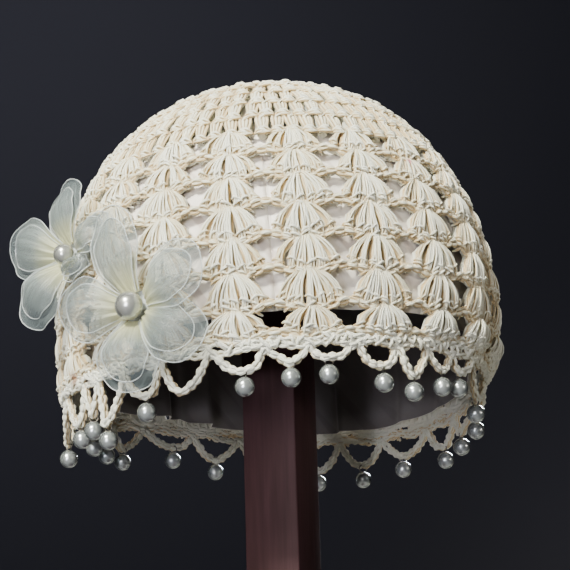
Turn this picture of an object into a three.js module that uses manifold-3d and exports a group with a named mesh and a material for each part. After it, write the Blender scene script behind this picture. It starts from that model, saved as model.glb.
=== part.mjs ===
// A top-down crochet hat in cream cotton, with a lace of shell stitches, a picot edge hung with pearl beads,
// two organza flowers and a satin lining, on a plain wooden stand.
// Units are millimetres. +Z is up, the front is -Y and the origin is the middle of the stand's underside.
import * as THREE from 'three';
import Module from 'manifold-3d';
import { mergeVertices } from 'three/addons/utils/BufferGeometryUtils.js';

const wasm = await Module();
wasm.setup();

// The dome is a superellipse turned about the hat's own axis, and straight below its widest round.
const DOME = { radius: 96.4, rise: 120.4, widest: 20, power: 2.4 };
const CROWN_TOP = DOME.widest + DOME.rise;
// The rim is drawn in on its right, where its loops lean inwards, and sags at the back on that side.
const DRAWN_IN = { by: 9, azimuth: 95, from: 32, lean: 0.3 };
const SAG = { by: 12.5, azimuth: 143, from: 60 };

const CLEARANCE = 0.3;
const WALL = { outer: 1.6, inner: -1.2 };
const CROWN_SEGMENTS = 40;
const CROWN_RINGS = [139, 132, 121, 108, 97.5];

// The lace: six rounds of shells, each hanging its chains from fan to fan.
const SHELL_COLUMNS = 20;
const FIRST_SHELL_AZIMUTH = -27.5;
const ROUNDS = [
  { name: 'shell_round_1', top: 87.3, bottom: 75.9 },
  { name: 'shell_round_2', top: 75.9, bottom: 62.6 },
  { name: 'shell_round_3', top: 62.6, bottom: 48.3 },
  { name: 'shell_round_4', top: 48.3, bottom: 33.8 },
  { name: 'shell_round_5', top: 33.8, bottom: 18.8 },
  { name: 'shell_round_6', top: 18.8, bottom: 8.0 },
];
// One shell and its chains: across is in column widths from the fan's middle, down is a share of the round.
const SHELL_OUTLINE = {
  topLeft: { across: -0.2, down: 0, proud: 0 },
  topRight: { across: 0.2, down: 0, proud: 0 },
  midLeft: { across: -0.25, down: 0.35, proud: 1.4 },
  midRight: { across: 0.25, down: 0.35, proud: 1.4 },
  footLeft: { across: -0.37, down: 0.64, proud: 1.8 },
  footRight: { across: 0.37, down: 0.64, proud: 1.8 },
  chainLeft: { across: -0.5, down: 0.7, proud: 0 },
  chainRight: { across: 0.5, down: 0.7, proud: 0 },
  hemLeft: { across: -0.25, down: 1, proud: 0.4 },
  hemRight: { across: 0.25, down: 1, proud: 0.4 },
  archLeft: { across: -0.5, down: 0.88, proud: 0 },
  archRight: { across: 0.5, down: 0.88, proud: 0 },
};
const SHELL_QUADS = [
  ['topLeft', 'midLeft', 'midRight', 'topRight'],
  ['midLeft', 'footLeft', 'footRight', 'midRight'],
  ['footLeft', 'hemLeft', 'hemRight', 'footRight'],
  ['chainLeft', 'archLeft', 'hemLeft', 'footLeft'],
  ['footRight', 'hemRight', 'archRight', 'chainRight'],
];
const SHELL_EDGES = [
  ['chainLeft', 'footLeft', 'midLeft', 'topLeft', 'topRight', 'midRight', 'footRight', 'chainRight'],
  ['archRight', 'hemRight', 'hemLeft', 'archLeft'],
];

// The edge: a plain band, then one chain loop for each bead. One loop has lost its bead.
const BAND = { top: 7.7, bottom: 4.0, outer: 1.4, inner: -1.6, segments: 40 };
const LOOP = { root: 4.9, cordRadius: 1.7, sides: 5 };
const LOOPS = [
  { azimuth: -86, dip: -12 }, { azimuth: -62, dip: -10.5 }, { azimuth: -55, dip: -9 },
  { azimuth: -48.5, dip: -15 }, { azimuth: -34.5, dip: -7.5 }, { azimuth: -24.5, dip: -8.5, bare: true },
  { azimuth: -8.5, dip: -3.5 }, { azimuth: 2.5, dip: -1.5 }, { azimuth: 11.5, dip: -1 },
  { azimuth: 25.5, dip: -4.5 }, { azimuth: 34.5, dip: -7.5 }, { azimuth: 45.5, dip: -4 },
  { azimuth: 54, dip: -3 }, { azimuth: 72, dip: -8.5 }, { azimuth: 95, dip: -6 },
  { azimuth: 112, dip: -5.5 }, { azimuth: 123, dip: -7 }, { azimuth: 143.5, dip: -4.5 },
  { azimuth: 158, dip: -7 }, { azimuth: 172, dip: -8 }, { azimuth: 187, dip: -7 },
  { azimuth: 202.5, dip: -5.5 }, { azimuth: 216, dip: -2 }, { azimuth: 235, dip: -5.5 },
  { azimuth: 242, dip: -3.5 }, { azimuth: 248.5, dip: -1 },
];
// How far the chain has risen from its dip to its root at shares of the way to the next bead.
const LOOP_RISE = [{ share: 0.24, risen: 0.22 }, { share: 0.42, risen: 0.72 }, { share: 0.5, risen: 1 }];
const BEAD = { radius: 4, pinRadius: 0.6, pin: 0.6, sides: 10 };

const LINING = {
  outer: -2.2, inner: -3.2, segments: 36, rings: [139, 132, 121, 102, 70],
  frontEdge: 20, backEdge: 9, pleatEvery: 4, pleatDepths: [0, 1.2, 3.2, 1.2], pleatsFrom: 105,
};

// Each flower: a sewn pad, a ring of petals that overlap like a fan's blades, and a bead.
const PAD = { radius: 8, thickness: 3, sides: 14 };
const FLOWER_BEAD_SIDES = 14;
const PETAL = { root: 5.6, lift: 1.2, thickness: 1.3, twist: -10, doming: 5, cup: 2.6 };
const PETAL_OUTLINE = [
  { along: 0, half: 0.18 }, { along: 0.26, half: 0.7 }, { along: 0.6, half: 1 },
  { along: 0.87, half: 0.8 }, { along: 1, half: 0.36 },
];
const FLOWERS = [
  {
    name: 'front_flower', azimuth: -32.3, height: 27, from: 3.8, turn: 0, beadRadius: 5.8,
    petals: [
      { angle: 106, length: 40, half: 14 }, { angle: 24, length: 32, half: 15 },
      { angle: -34, length: 33, half: 13 }, { angle: -99, length: 29, half: 14 },
      { angle: 172, length: 33, half: 13.5 },
    ],
  },
  {
    name: 'side_flower', azimuth: -57, height: 58, from: 4.2, turn: 14, beadRadius: 4.6,
    petals: [
      { angle: 98, length: 30, half: 13.5 }, { angle: 160, length: 38, half: 13.5 },
      { angle: 226, length: 30, half: 12.5 }, { angle: 20, length: 22, half: 10 },
      { angle: -46, length: 9, half: 7 },
    ],
  },
];

// The stand: a round head under the crown, a square post and a square base.
const RIM_HEIGHT = 215;
const HAT_TILT = -2.8;
const HEAD = { sphere: 90, radius: 60, edge: 6, segments: 32, rings: [14, 28, 41.8] };
const POST = { side: 25, turn: -22.7 };
const BASE = { side: 150, thickness: 18, bevel: 3 };

const COTTON = { color: 0xe9dfc8, roughness: 0.9, metalness: 0 };
const ORGANZA = { color: 0xe6e8df, roughness: 0.45, metalness: 0 };
const PEARL = { color: 0xdcdcd6, roughness: 0.25, metalness: 0 };
const SATIN = { color: 0xd6cdc8, roughness: 0.4, metalness: 0 };
const WOOD = { color: 0x4a2a2a, roughness: 0.45, metalness: 0 };

const radians = THREE.MathUtils.degToRad;

// A smooth swell around one azimuth, 1 there and 0 a quarter turn away.
function swell(azimuth, middle) {
  return Math.max(0, Math.cos(radians(azimuth - middle))) ** 2;
}

// The dome's radius and outward normal at a height above the rim plane.
function domeSection(height) {
  const above = Math.max(height - DOME.widest, 0) / DOME.rise;
  const radius = DOME.radius * Math.max(1 - above ** DOME.power, 0) ** (1 / DOME.power);
  const out = (radius / DOME.radius) ** (DOME.power - 1) / DOME.radius;
  const up = above ** (DOME.power - 1) / DOME.rise;
  const size = Math.hypot(out, up);
  return { radius, out: out / size, up: up / size };
}

// A point of the hat, offset outwards from the dome. Azimuth 0 is the front and 90 the right.
function hatPoint(azimuth, height, offset) {
  const { radius, out, up } = domeSection(height);
  const drawnIn = 1 - THREE.MathUtils.smoothstep(height, 0, DRAWN_IN.from);
  const sagging = 1 - THREE.MathUtils.smoothstep(height, 0, SAG.from);
  const inwards = DRAWN_IN.by * drawnIn + DRAWN_IN.lean * Math.max(-height, 0);
  const r = radius + out * offset - inwards * swell(azimuth, DRAWN_IN.azimuth);
  const z = height + up * offset - SAG.by * sagging * swell(azimuth, SAG.azimuth);
  return new THREE.Vector3(r * Math.sin(radians(azimuth)), -r * Math.cos(radians(azimuth)), z);
}

function geometryOf(triangles) {
  const geometry = new THREE.BufferGeometry().setFromPoints(triangles.flat());
  geometry.computeVertexNormals();
  return geometry;
}

function quad(a, b, c, d) {
  return [[a, b, c], [a, c, d]];
}

// Joins rings of points, from the top down on the outside. Two poles close the ends, and without them
// the last ring meets the first.
function skin(rings, poles) {
  const triangles = [];
  const around = rings[0].length;
  const bands = poles ? rings.length - 1 : rings.length;
  for (let i = 0; i < bands; i++) {
    const upper = rings[i];
    const lower = rings[(i + 1) % rings.length];
    for (let j = 0; j < around; j++) {
      const k = (j + 1) % around;
      triangles.push(...quad(upper[j], lower[j], lower[k], upper[k]));
    }
  }
  if (poles) {
    const last = rings[rings.length - 1];
    for (let j = 0; j < around; j++) {
      const k = (j + 1) % around;
      triangles.push([poles[0], rings[0][j], rings[0][k]], [poles[1], last[k], last[j]]);
    }
  }
  return geometryOf(triangles);
}

function ringOf(segments, pointAt) {
  return Array.from({ length: segments }, (_, j) => pointAt((360 * j) / segments, j));
}

// A solid turned about Z from rows of radius and height, top first, closed on the axis at both ends.
function turned(rows, top, bottom, segments) {
  const rings = rows.map(({ radius, height }) =>
    ringOf(segments, (angle) => new THREE.Vector3(
      radius * Math.sin(radians(angle)), -radius * Math.cos(radians(angle)), height,
    )));
  return skin(rings, [new THREE.Vector3(0, 0, top), new THREE.Vector3(0, 0, bottom)]);
}

// The solid crochet top with its first round of shells.
function crown() {
  const heights = [...CROWN_RINGS, ROUNDS[0].top + CLEARANCE];
  const ring = (height, offset) => ringOf(CROWN_SEGMENTS, (azimuth) => hatPoint(azimuth, height, offset));
  const outside = heights.map((height) => ring(height, WALL.outer));
  const inside = heights.map((height) => ring(height, WALL.inner)).reverse();
  const poles = [hatPoint(0, CROWN_TOP, WALL.outer), hatPoint(0, CROWN_TOP, WALL.inner)];
  return skin([...outside, ...inside], poles);
}

// One round of the lace: fans that stand on a ring of chains, open between them at the top.
function shellRound({ top, bottom }) {
  const place = (column, name, offset) => {
    const { across, down, proud } = SHELL_OUTLINE[name];
    const azimuth = FIRST_SHELL_AZIMUTH + ((column + across) * 360) / SHELL_COLUMNS;
    const height = top + (bottom + CLEARANCE - top) * down;
    return hatPoint(azimuth, height, offset > 0 ? offset + proud : offset);
  };
  const triangles = [];
  for (let column = 0; column < SHELL_COLUMNS; column++) {
    for (const corners of SHELL_QUADS) {
      triangles.push(...quad(...corners.map((name) => place(column, name, WALL.outer))));
      triangles.push(...quad(...corners.map((name) => place(column, name, WALL.inner)).reverse()));
    }
    for (const edge of SHELL_EDGES) {
      for (let i = 0; i + 1 < edge.length; i++) {
        triangles.push(...quad(
          place(column, edge[i], WALL.inner), place(column, edge[i], WALL.outer),
          place(column, edge[i + 1], WALL.outer), place(column, edge[i + 1], WALL.inner),
        ));
      }
    }
  }
  return geometryOf(triangles);
}

function toManifold(geometry) {
  const bare = geometry.index ? geometry.toNonIndexed() : geometry.clone();
  bare.deleteAttribute('normal');
  bare.deleteAttribute('uv');
  const merged = mergeVertices(bare, 1e-3);
  return new wasm.Manifold(new wasm.Mesh({
    numProp: 3,
    vertProperties: merged.attributes.position.array,
    triVerts: new Uint32Array(merged.index.array),
  }));
}

function fromManifold(solid) {
  const { vertProperties, triVerts } = solid.getMesh();
  const geometry = new THREE.BufferGeometry();
  geometry.setAttribute('position', new THREE.BufferAttribute(vertProperties, 3));
  geometry.setIndex(new THREE.BufferAttribute(triVerts, 1));
  const flat = geometry.toNonIndexed();
  flat.computeVertexNormals();
  return flat;
}

// The chain that swings from one anchor to the next all round, dipping to where each bead hangs.
function loopChain() {
  const stops = LOOPS.flatMap((own, index) => {
    const next = LOOPS[(index + 1) % LOOPS.length];
    const across = (next.azimuth - own.azimuth + 360) % 360;
    const stop = (from, share, risen) => ({
      azimuth: own.azimuth + across * share, height: from.dip + (LOOP.root - from.dip) * risen,
    });
    const up = LOOP_RISE.map(({ share, risen }) => stop(own, share, risen));
    const down = LOOP_RISE.slice(0, -1).map(({ share, risen }) => stop(next, 1 - share, risen)).reverse();
    return [stop(own, 0, 0), ...up, ...down];
  });
  const path = stops.map(({ azimuth, height }) => hatPoint(azimuth, height, 0));
  const rings = path.map((middle, index) => {
    const ahead = path[(index + 1) % path.length];
    const behind = path[(index + path.length - 1) % path.length];
    const along = new THREE.Vector3().subVectors(ahead, behind).normalize();
    const outward = new THREE.Vector3(middle.x, middle.y, 0).normalize();
    const across = new THREE.Vector3().crossVectors(outward, along).normalize();
    return ringOf(LOOP.sides, (angle) => middle.clone()
      .addScaledVector(outward, LOOP.cordRadius * Math.cos(radians(angle)))
      .addScaledVector(across, LOOP.cordRadius * Math.sin(radians(angle))));
  });
  return skin(rings);
}

function picotEdging() {
  const ring = (height, offset) => ringOf(BAND.segments, (azimuth) => hatPoint(azimuth, height, offset));
  const band = skin([
    ring(BAND.top, BAND.outer), ring(BAND.bottom, BAND.outer),
    ring(BAND.bottom, BAND.inner), ring(BAND.top, BAND.inner),
  ]);
  return fromManifold(toManifold(band).add(toManifold(loopChain())).simplify(0.2));
}

// A round bead with the pin that hangs it, its origin at the pin's top.
function hangingBead() {
  const { radius, pinRadius, pin, sides } = BEAD;
  const middle = -(pin + radius);
  const waist = radius * Math.SQRT1_2;
  const shoulder = middle + Math.sqrt(radius ** 2 - pinRadius ** 2);
  const rows = [
    { radius: pinRadius, height: 0 }, { radius: pinRadius, height: shoulder },
    { radius: waist, height: middle + waist }, { radius, height: middle },
    { radius: waist, height: middle - waist },
  ];
  return turned(rows, 0, middle - radius, sides);
}

function liningEdge(azimuth) {
  const share = (1 + Math.cos(radians(azimuth))) / 2;
  return LINING.backEdge + (LINING.frontEdge - LINING.backEdge) * share;
}

// A dome of satin under the lace, its pleats deepening towards the free edge.
function lining() {
  const point = (azimuth, j, height, offset) => {
    const depth = LINING.pleatDepths[j % LINING.pleatEvery];
    const fullness = 1 - THREE.MathUtils.smoothstep(height, LINING.backEdge, LINING.pleatsFrom);
    return hatPoint(azimuth, height, offset - depth * fullness);
  };
  const ring = (height, offset) => ringOf(LINING.segments, (azimuth, j) => point(azimuth, j, height, offset));
  const edge = (offset) =>
    ringOf(LINING.segments, (azimuth, j) => point(azimuth, j, liningEdge(azimuth), offset));
  const side = (offset) => [...LINING.rings.map((height) => ring(height, offset)), edge(offset)];
  const poles = [hatPoint(0, CROWN_TOP, LINING.outer), hatPoint(0, CROWN_TOP, LINING.inner)];
  return skin([...side(LINING.outer), ...side(LINING.inner).reverse()], poles);
}

// One petal in the flower's frame: X along the petal, Z away from the hat.
function petal({ length, half }) {
  const across = [-1, -0.4, 0.4, 1];
  const twist = radians(PETAL.twist);
  const point = (row, side, above) => {
    const width = side * half * row.half;
    const doming = PETAL.doming * Math.sin(Math.PI * Math.min(row.along, 0.9));
    const rise = doming - PETAL.cup * (side * row.half) ** 2 + (above ? PETAL.thickness : 0);
    return new THREE.Vector3(
      PETAL.root + length * row.along, width * Math.cos(twist), rise + width * Math.sin(twist),
    );
  };
  const rings = PETAL_OUTLINE.map((row) => [
    ...across.map((side) => point(row, side, false)),
    ...[...across].reverse().map((side) => point(row, side, true)),
  ]);
  const triangles = [];
  for (let i = 0; i + 1 < rings.length; i++) {
    for (let j = 0; j < rings[i].length; j++) {
      const k = (j + 1) % rings[i].length;
      triangles.push(...quad(rings[i][j], rings[i][k], rings[i + 1][k], rings[i + 1][j]));
    }
  }
  const cap = (ring) => [0, 1, 2].flatMap((j) => quad(ring[j], ring[7 - j], ring[6 - j], ring[j + 1]));
  triangles.push(...cap(rings[0]));
  triangles.push(...cap(rings[rings.length - 1]).map(([a, b, c]) => [a, c, b]));
  return geometryOf(triangles);
}

function meshOf(name, geometry, look) {
  const mesh = new THREE.Mesh(geometry, new THREE.MeshStandardMaterial(look));
  mesh.name = name;
  return mesh;
}

function flower({ name, azimuth, height, from, turn, beadRadius, petals }) {
  const group = new THREE.Group();
  group.position.copy(hatPoint(azimuth, height, from));
  const { out, up } = domeSection(height);
  const upright = new THREE.Vector3(0, 0, 1);
  const away = new THREE.Vector3(0, -out, up).applyAxisAngle(upright, radians(azimuth + turn));
  const right = upright.clone().cross(away).normalize();
  group.quaternion.setFromRotationMatrix(
    new THREE.Matrix4().makeBasis(right, new THREE.Vector3().crossVectors(away, right), away),
  );
  const padRows = [{ radius: PAD.radius, height: PAD.thickness }, { radius: PAD.radius, height: 0 }];
  group.add(meshOf(`${name}_pad`, turned(padRows, PAD.thickness, 0, PAD.sides), ORGANZA));
  petals.forEach((shape, index) => {
    const mesh = meshOf(`${name}_petal_${index + 1}`, petal(shape), ORGANZA);
    mesh.rotation.z = radians(shape.angle);
    mesh.position.z = PAD.thickness + PETAL.lift;
    group.add(mesh);
  });
  const beadRows = [60, 30, 0, -30, -60].map((latitude) => ({
    radius: beadRadius * Math.cos(radians(latitude)), height: beadRadius * Math.sin(radians(latitude)),
  }));
  const bead = meshOf(`${name}_bead`, turned(beadRows, beadRadius, -beadRadius, FLOWER_BEAD_SIDES), PEARL);
  bead.position.z = PAD.thickness + CLEARANCE + beadRadius;
  group.add(bead);
  return group;
}

function hat() {
  const group = new THREE.Group();
  group.add(meshOf('crown', crown(), COTTON));
  for (const round of ROUNDS) group.add(meshOf(round.name, shellRound(round), COTTON));
  group.add(meshOf('picot_edging', picotEdging(), COTTON));
  group.add(meshOf('satin_lining', lining(), SATIN));
  LOOPS.forEach(({ azimuth, dip, bare }, index) => {
    if (bare) return;
    const bead = meshOf(`bead_${String(index + 1).padStart(2, '0')}`, hangingBead(), PEARL);
    bead.position.copy(hatPoint(azimuth, dip - LOOP.cordRadius - CLEARANCE, 0));
    group.add(bead);
  });
  for (const shape of FLOWERS) group.add(flower(shape));
  return group;
}

// The head is part of a sphere, so the hat can sit crooked on it without touching it anywhere else.
const HEAD_TOP = CROWN_TOP + LINING.inner - CLEARANCE;
const HEAD_CENTRE = HEAD_TOP - HEAD.sphere;

function stand() {
  const group = new THREE.Group();
  const centre = RIM_HEIGHT + HEAD_CENTRE;
  const rows = HEAD.rings.map((angle) => ({
    radius: HEAD.sphere * Math.sin(radians(angle)), height: centre + HEAD.sphere * Math.cos(radians(angle)),
  }));
  const underside = rows[rows.length - 1].height - HEAD.edge;
  rows.push({ radius: rows[rows.length - 1].radius, height: underside });
  const head = turned(rows, centre + HEAD.sphere, underside, HEAD.segments);
  group.add(meshOf('stand_head', head, WOOD));

  const postLength = underside - BASE.thickness - 2 * CLEARANCE;
  const post = meshOf('stand_post', new THREE.BoxGeometry(POST.side, POST.side, postLength), WOOD);
  post.rotation.z = radians(POST.turn);
  post.position.z = BASE.thickness + CLEARANCE + postLength / 2;
  group.add(post);

  const half = BASE.side / 2 - BASE.bevel;
  const plate = new THREE.Shape([[-half, -half], [half, -half], [half, half], [-half, half]]
    .map(([x, y]) => new THREE.Vector2(x, y)));
  const base = meshOf('stand_base', new THREE.ExtrudeGeometry(plate, {
    depth: BASE.thickness - 2 * BASE.bevel,
    bevelSize: BASE.bevel,
    bevelThickness: BASE.bevel,
    bevelSegments: 1,
  }), WOOD);
  base.rotation.z = radians(POST.turn);
  base.position.z = BASE.bevel;
  group.add(base);
  return group;
}

const crochetHatOnStand = new THREE.Group();
const worn = hat();
worn.position.z = -HEAD_CENTRE;
const seat = new THREE.Group();
seat.rotation.y = radians(HAT_TILT);
seat.position.z = RIM_HEIGHT + HEAD_CENTRE;
seat.add(worn);
crochetHatOnStand.add(seat, stand());

export default crochetHatOnStand;
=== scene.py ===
# A top-down crochet hat in cream cotton, with beaded picots, organza flowers and a satin lining,
# held up by its plain mahogany stand. Sizes are in millimetres, and objects are made in metres.
import math

import bmesh
import bpy
import numpy as np
from mathutils import Matrix, Vector


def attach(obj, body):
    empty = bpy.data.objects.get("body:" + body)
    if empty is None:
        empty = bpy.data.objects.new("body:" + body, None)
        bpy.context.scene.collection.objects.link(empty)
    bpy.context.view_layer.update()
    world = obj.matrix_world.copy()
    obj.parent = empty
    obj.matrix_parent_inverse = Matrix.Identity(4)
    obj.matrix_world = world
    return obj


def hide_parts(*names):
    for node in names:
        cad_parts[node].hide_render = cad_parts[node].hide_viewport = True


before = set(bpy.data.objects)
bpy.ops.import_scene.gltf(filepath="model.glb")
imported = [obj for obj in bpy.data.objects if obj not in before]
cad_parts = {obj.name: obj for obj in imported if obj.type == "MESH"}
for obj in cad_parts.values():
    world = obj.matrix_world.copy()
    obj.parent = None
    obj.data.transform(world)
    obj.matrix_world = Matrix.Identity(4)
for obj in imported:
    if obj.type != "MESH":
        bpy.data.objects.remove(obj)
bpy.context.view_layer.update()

MM = 0.001
chance = np.random.default_rng(14)

# The hat's own form, as the part's source has it: a dome whose rim is drawn in on one side and sags
# at the back, seated on the head of the stand with a slight tilt
DOME = {"radius": 96.4, "rise": 120.4, "widest": 20.0, "power": 2.4}
CROWN_TOP = DOME["widest"] + DOME["rise"]
DRAWN_IN = {"by": 9.0, "azimuth": 95.0, "from": 32.0, "lean": 0.3}
SAG = {"by": 12.5, "azimuth": 143.0, "from": 60.0}
HEAD_CENTRE_BELOW_TOP = 93.5
HEAD_CENTRE = CROWN_TOP - HEAD_CENTRE_BELOW_TOP
RIM_HEIGHT = 215.0
HAT_TILT = -2.8

# The lace: the heights of its rounds' edges, and how far a shell's foot reaches to each side, as a
# share of its column, and how far it bulges, more so low down on one side of the hat
SHELL_COLUMNS = 20
FIRST_SHELL_AZIMUTH = -27.5
ROUND_EDGES = [98.7, 87.3, 75.9, 62.6, 48.3, 33.8, 18.8, 8.0]
SHELL_STITCHES = 7
SHELL_FOOT = 0.37
SHELL_BULGE = 3.2
PUFFS_OUT = {"by": 3.5, "azimuth": 82.0, "below": 22.0}

# The yarn: the radius of its strands, and how much painted shade darkens the colour at their sides
YARN = 0.5
PAINTED_SIDE_SHADE = 1.9

# The crown: the height of a round of double crochet and the width of a stitch
CROWN_ROUND = 11.6
CROWN_STITCH = 6.5
POLE_RADIUS = 1.2

# The chains: how long a stitch is, how far its strands part, how thick they are and how many
CHAINS = {
    "lace": {"stitch": 4.4, "spread": 1.15, "thickness": 0.95, "lobes": 3},
    "band": {"stitch": 3.6, "spread": 1.0, "thickness": 0.74, "lobes": 3},
    "picot": {"stitch": 3.4, "spread": 1.15, "thickness": 0.88, "lobes": 4},
}

# The edge and its beads: the height that its loops spring from and the radius of their chain
LOOP_ROOT = 4.9
LOOP_CORD = 1.7
CLEARANCE = 0.3
LOOPS = [
    # azimuth, dip
    (-86, -12), (-62, -10.5), (-55, -9), (-48.5, -15), (-34.5, -7.5), (-24.5, -8.5), (-8.5, -3.5),
    (2.5, -1.5), (11.5, -1), (25.5, -4.5), (34.5, -7.5), (45.5, -4), (54, -3), (72, -8.5),
    (95, -6), (112, -5.5), (123, -7), (143.5, -4.5), (158, -7), (172, -8), (187, -7),
    (202.5, -5.5), (216, -2), (235, -5.5), (242, -3.5), (248.5, -1),
]
BARE_LOOP = 5
BEAD = 4.0
BEAD_DROP = 0.6
JUMP_RING = {"radius": 1.9, "wire": 0.3, "above": 0.9, "turned": 60}

# Marks of use on the cotton: a stain and a fleck of thread
MARKS = [
    # azimuth, height, offset, radius, colour
    (-62.0, 8.6, 3.0, 4.0, "9C6738"), (43.6, 86.0, 2.4, 2.3, "B4566C"),
]

# The camera that took the photo, in the hat's own frame from the middle of its rim
CAMERA_AT = (4.455, -778.464, -144.327)
CAMERA_RIGHT = (0.99676, 0.01985, -0.07792)
CAMERA_UP = (0.08041, -0.24606, 0.96591)
FOCAL_PIXELS = 1771.5
PHOTO_SIDE = 570
SENSOR = 36.0

SEAT = (
    Matrix.Translation((0, 0, RIM_HEIGHT + HEAD_CENTRE))
    @ Matrix.Rotation(math.radians(HAT_TILT), 4, "Y")
    @ Matrix.Translation((0, 0, -HEAD_CENTRE))
)
SEAT_TURN = np.array(SEAT.to_3x3())
SEAT_SHIFT = np.array(SEAT.translation)


def place_camera():
    data = bpy.data.cameras.new("camera")
    data.sensor_width = SENSOR
    data.lens = FOCAL_PIXELS * SENSOR / PHOTO_SIDE
    camera = bpy.data.objects.new("camera", data)
    bpy.context.scene.collection.objects.link(camera)
    turn = SEAT.to_3x3()
    right, up = (turn @ Vector(axis) for axis in (CAMERA_RIGHT, CAMERA_UP))
    camera.matrix_world = Matrix((right, up, right.cross(up))).transposed().to_4x4()
    camera.location = (SEAT @ Vector(CAMERA_AT)) * MM
    bpy.context.scene.camera = camera


place_camera()


# The hat's surface
def smooth(x, low, high):
    share = np.clip((x - low) / (high - low), 0, 1)
    return share * share * (3 - 2 * share)


def swell(azimuth, middle):
    return np.maximum(np.cos(np.radians(azimuth - middle)), 0) ** 2


def dome_radius(height):
    above = np.clip((height - DOME["widest"]) / DOME["rise"], 0, 1)
    return DOME["radius"] * (1 - above ** DOME["power"]) ** (1 / DOME["power"])


def dome_height(radius):
    share = 1 - (radius / DOME["radius"]) ** DOME["power"]
    return DOME["widest"] + DOME["rise"] * share ** (1 / DOME["power"])


def dome_normal(height):
    above = np.clip((height - DOME["widest"]) / DOME["rise"], 0, 1)
    out = (dome_radius(height) / DOME["radius"]) ** (DOME["power"] - 1) / DOME["radius"]
    up = above ** (DOME["power"] - 1) / DOME["rise"]
    size = np.hypot(out, up)
    return out / size, up / size


def on_hat(azimuth, height, offset):
    """Points in the world, from azimuths in degrees, heights above the rim and offsets from the dome."""
    azimuth, height, offset = np.broadcast_arrays(
        np.asarray(azimuth, float), np.asarray(height, float), np.asarray(offset, float)
    )
    out, up = dome_normal(height)
    inwards = DRAWN_IN["by"] * (1 - smooth(height, 0, DRAWN_IN["from"]))
    inwards = inwards + DRAWN_IN["lean"] * np.maximum(-height, 0)
    radius = dome_radius(height) + out * offset - inwards * swell(azimuth, DRAWN_IN["azimuth"])
    sunk = SAG["by"] * (1 - smooth(height, 0, SAG["from"])) * swell(azimuth, SAG["azimuth"])
    turn = np.radians(azimuth)
    local = np.stack([radius * np.sin(turn), -radius * np.cos(turn), height + up * offset - sunk], -1)
    return (local @ SEAT_TURN.T + SEAT_SHIFT) * MM


def depth_on_hat(points):
    """How far points in the world stand off the dome, in millimetres."""
    local = (points / MM - SEAT_SHIFT) @ SEAT_TURN
    azimuth = np.degrees(np.arctan2(local[:, 0], -local[:, 1]))
    height = local[:, 2]
    for _ in range(4):
        sunk = SAG["by"] * (1 - smooth(height, 0, SAG["from"])) * swell(azimuth, SAG["azimuth"])
        height = local[:, 2] + sunk
    inwards = DRAWN_IN["by"] * (1 - smooth(height, 0, DRAWN_IN["from"]))
    inwards = inwards + DRAWN_IN["lean"] * np.maximum(-height, 0)
    radius = np.hypot(local[:, 0], local[:, 1]) + inwards * swell(azimuth, DRAWN_IN["azimuth"])
    power = DOME["power"]
    above = np.maximum(height - DOME["widest"], 0) / DOME["rise"]
    share = (radius / DOME["radius"]) ** power + above ** power
    slope = np.hypot(
        (radius / DOME["radius"]) ** (power - 1) / DOME["radius"], above ** (power - 1) / DOME["rise"]
    )
    return (share - 1) / (power * slope)


# Yarn: every strand is a row of points and thicknesses, and a whole round of them becomes one mesh
def smooth_path(controls, steps):
    """Rows of numbers along a smooth curve through a few rows."""
    controls = np.asarray(controls, float)
    t = np.linspace(0, len(controls) - 1, steps + 1)
    i = np.minimum(t.astype(int), len(controls) - 2)
    f = (t - i)[:, None]
    a, b = controls[np.maximum(i - 1, 0)], controls[i]
    c, d = controls[i + 1], controls[np.minimum(i + 2, len(controls) - 1)]
    return b + 0.5 * f * (c - a + f * (2 * a - 5 * b + 4 * c - d + f * (3 * (b - c) + d - a)))


def lay(strands, controls, steps):
    """Lays a strand on the hat through rows of azimuth, height, offset and thickness."""
    rows = smooth_path(controls, steps)
    strands.append((on_hat(rows[:, 0], rows[:, 1], rows[:, 2]), rows[:, 3]))


CHAIN_STITCH = np.array([
    # how far along it, how wide its strands spread, how thick they are
    (-0.22, 0, 0.6), (0.1, 0.85, 0.95), (0.45, 1.1, 1.08), (0.85, 0.75, 0.9), (1.15, 0, 0.55),
])


def crochet_chain(strands, path, outward, stitch, spread, thickness, lobes):
    """Chain stitches along a path in space, each a few strands that part and close on the next."""
    along = np.concatenate([[0], np.cumsum(np.linalg.norm(np.diff(path, axis=0), axis=1))]) / MM
    count = max(1, round(along[-1] / stitch))
    length = along[-1] / count
    forward = np.gradient(path, axis=0)
    forward /= np.linalg.norm(forward, axis=1, keepdims=True)
    sideways = np.cross(forward, outward)
    for i in range(count):
        reach = (i + CHAIN_STITCH[:, 0]) * length
        middle, out, side = (
            np.stack([np.interp(reach, along, field[:, k]) for k in range(3)], -1)
            for field in (path, outward, sideways)
        )
        for lobe in range(lobes):
            turn = 360 * (lobe + 0.25) / lobes + 180 * (i % 2) / lobes + chance.uniform(-25, 25)
            turn = math.radians(turn)
            wide = spread * chance.uniform(0.85, 1.15) * MM
            push = (out * math.cos(turn) + side * math.sin(turn)) * CHAIN_STITCH[:, 1:2] * wide
            rows = np.column_stack([middle + push, CHAIN_STITCH[:, 2] * thickness])
            rows = smooth_path(rows, 4)
            strands.append((rows[:, :3], rows[:, 3]))


def hat_line(controls, steps):
    """A path on the hat and the directions away from it, through rows of azimuth, height and offset."""
    rows = smooth_path(controls, steps)
    path = on_hat(rows[:, 0], rows[:, 1], rows[:, 2])
    outward = on_hat(rows[:, 0], rows[:, 1], rows[:, 2] + 1) - path
    return path, outward / np.linalg.norm(outward, axis=1, keepdims=True)


def finish_piece(piece, materials, slot, *nodes):
    for material in materials:
        piece.data.materials.append(material)
    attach(piece, "root")
    if nodes:
        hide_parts(*nodes)
    return piece


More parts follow.
